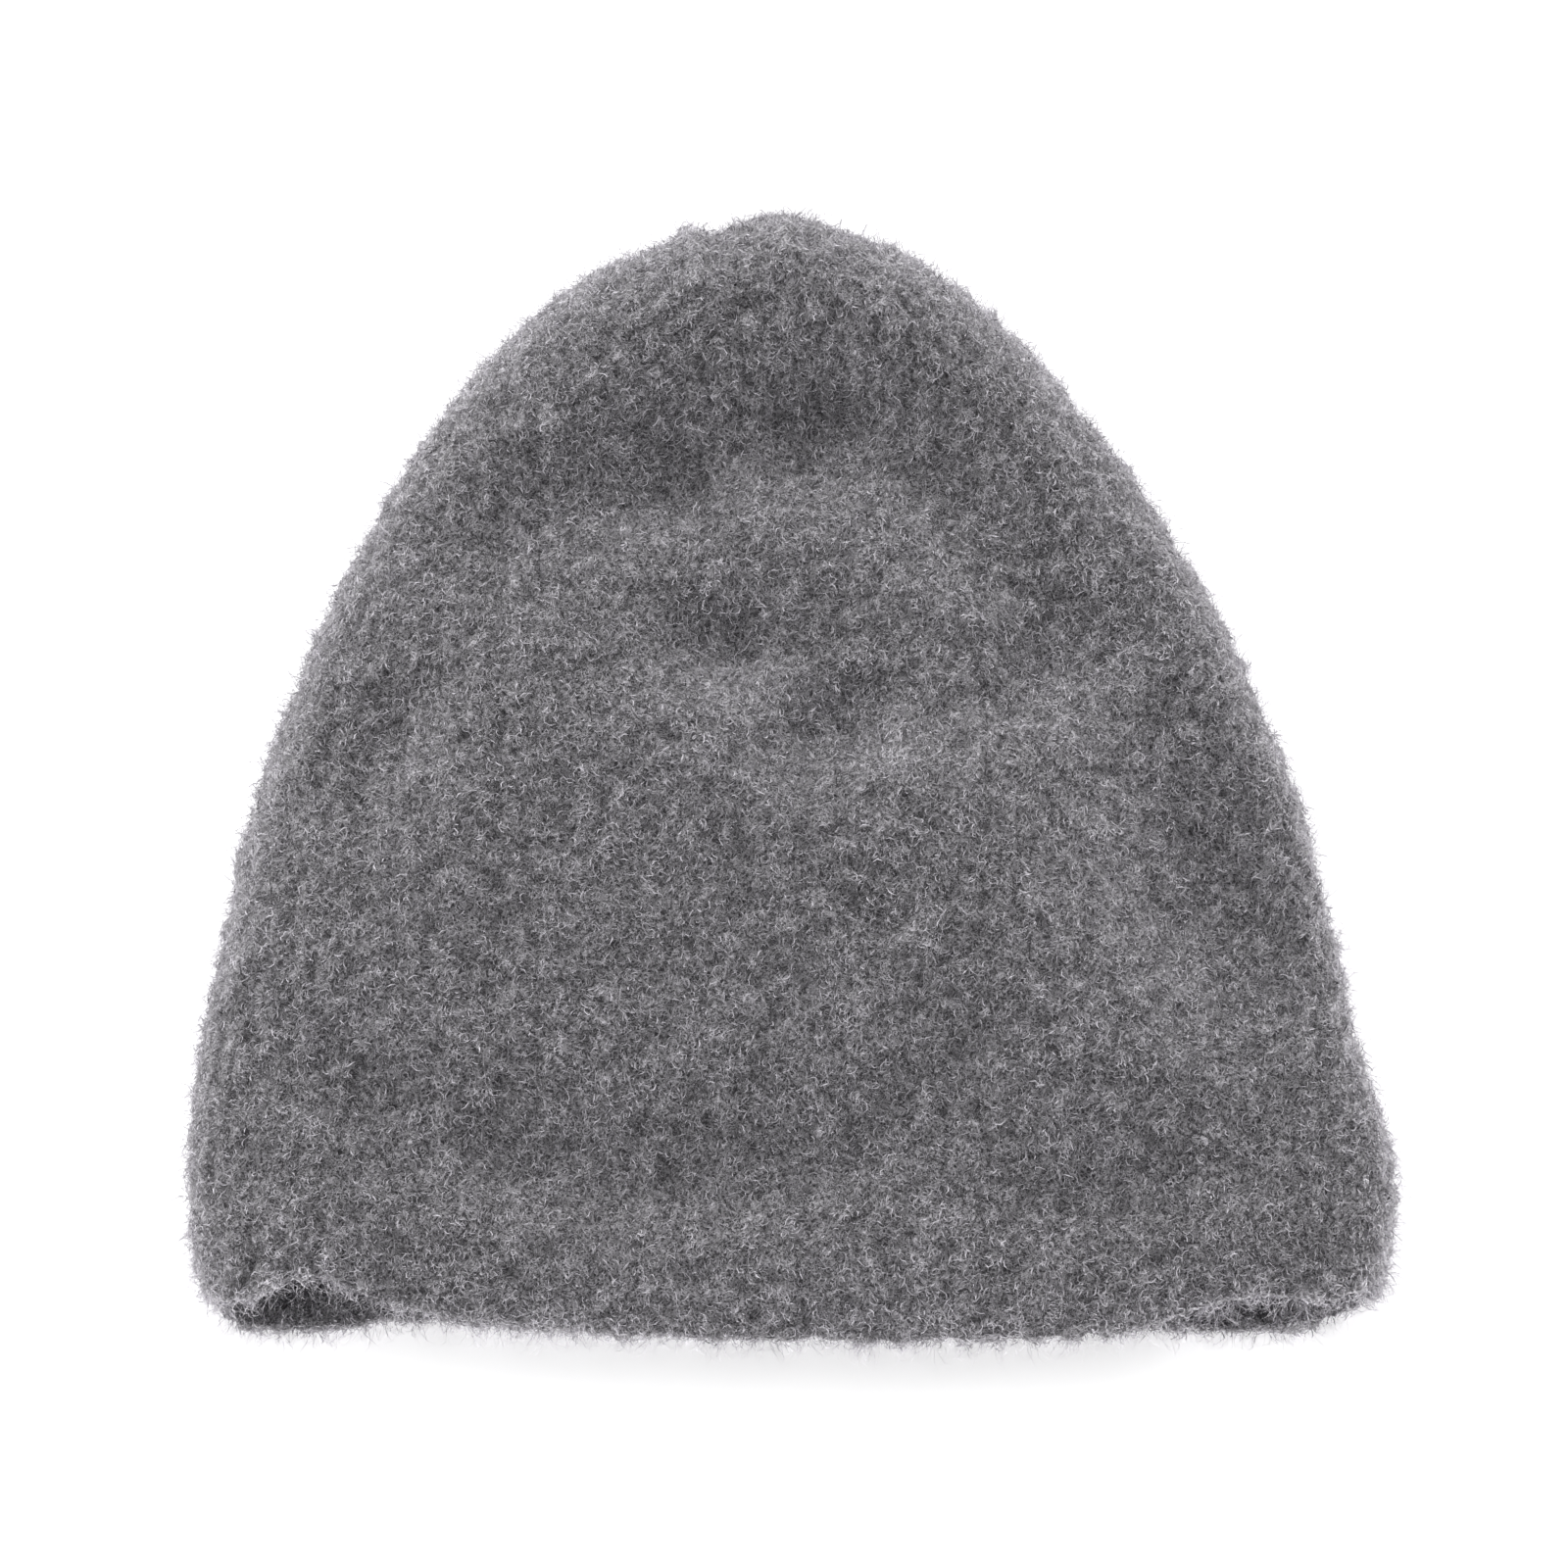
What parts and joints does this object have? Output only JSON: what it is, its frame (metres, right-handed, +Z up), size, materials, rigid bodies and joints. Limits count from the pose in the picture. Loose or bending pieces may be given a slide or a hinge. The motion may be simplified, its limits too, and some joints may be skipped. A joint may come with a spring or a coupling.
{
  "type": "knit cap",
  "caption": "Seamless brushed wool knit cap, lying flat with its hem open, its crown gathered at the top and soft dents in the upper layer.",
  "frame": {"origin": "on the surface that the cap lies on, under the middle of its box", "axes": "+X across the hem, to the right when seen from above with the hem towards the viewer; +Y from the hem to the crown; +Z up from the surface"},
  "size_m": [0.2404, 0.2402, 0.0285],
  "materials": {
    "wool": "brushed grey melange wool, matt, with a short soft nap"
  },
  "bodies": {
    "root": {"knit_cap": "wool"}
  },
  "joints": []
}
